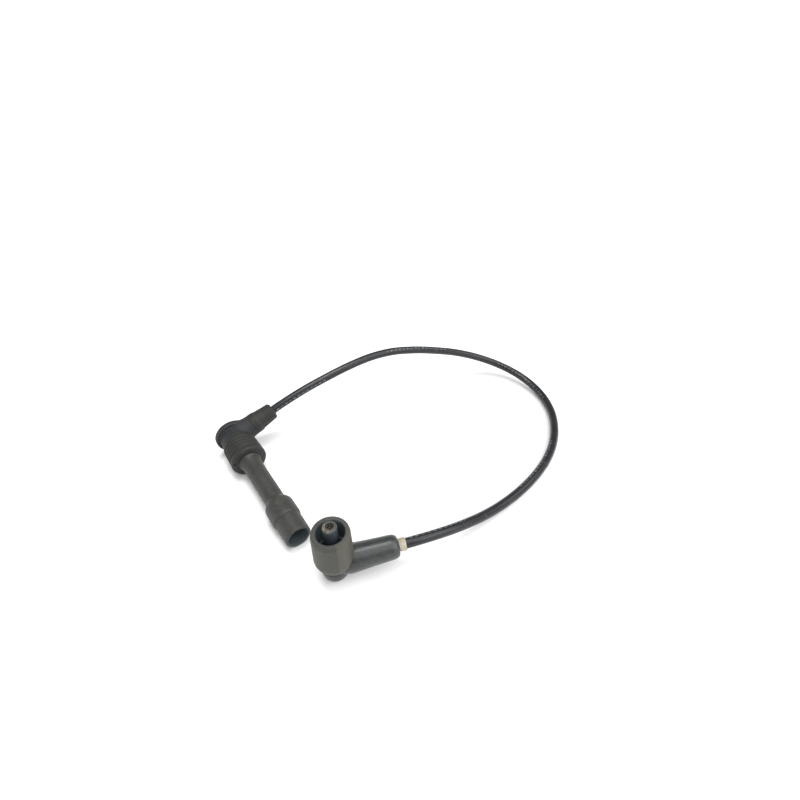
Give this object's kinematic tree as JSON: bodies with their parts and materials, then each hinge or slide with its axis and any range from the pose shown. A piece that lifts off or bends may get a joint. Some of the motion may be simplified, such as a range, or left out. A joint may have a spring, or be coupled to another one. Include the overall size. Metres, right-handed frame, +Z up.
{
  "type": "spark plug wire",
  "caption": "Ignition lead: a cable with a long angled spark plug connector at one end and an upright coil boot at the other.",
  "frame": {"origin": "centre of the base of the box round the two connectors, on the surface that the lead lies on", "axes": "+Z up from that surface, +Y along the plug connector away from its mouth, +X toward the cable's loop"},
  "size_m": [0.2843, 0.1887, 0.0539],
  "materials": {
    "cable_jacket": "extruded, satin black",
    "cream_sleeving": "matt, slightly soiled",
    "elbow_moulding": "moulded, fine satin",
    "boot_rubber": "moulded, matt with a fine bloom",
    "cup_rubber": "moulded, matt",
    "tower_plastic": "moulded, worn at its edge",
    "contact_brass": "turned, tarnished",
    "plated_steel": "plated",
    "spring_steel": "drawn wire",
    "resistor_ceramic": "fired, matt",
    "conductive_core": "carbon filled"
  },
  "bodies": {
    "root": {"ignition_cable": "cable_jacket", "marker_band": "cream_sleeving", "plug_elbow_head": "elbow_moulding", "plug_cable_sleeve": "boot_rubber", "well_seal_collar": "boot_rubber", "plug_barrel": "boot_rubber", "plug_tip_sleeve": "boot_rubber", "plug_terminal_socket": "contact_brass", "terminal_snap_ring": "spring_steel", "suppression_resistor": "resistor_ceramic", "resistor_cap_upper": "plated_steel", "resistor_cap_lower": "plated_steel", "contact_spring": "spring_steel", "elbow_contact_stud": "contact_brass", "plug_crimp_ferrule": "plated_steel", "plug_end_core": "conductive_core", "coil_elbow_boot": "boot_rubber", "coil_cup": "cup_rubber", "contact_tower": "tower_plastic", "coil_contact_socket": "contact_brass", "socket_spring_ring": "spring_steel", "coil_contact_stud": "contact_brass", "coil_crimp_ferrule": "plated_steel", "coil_end_core": "conductive_core"}
  },
  "joints": []
}
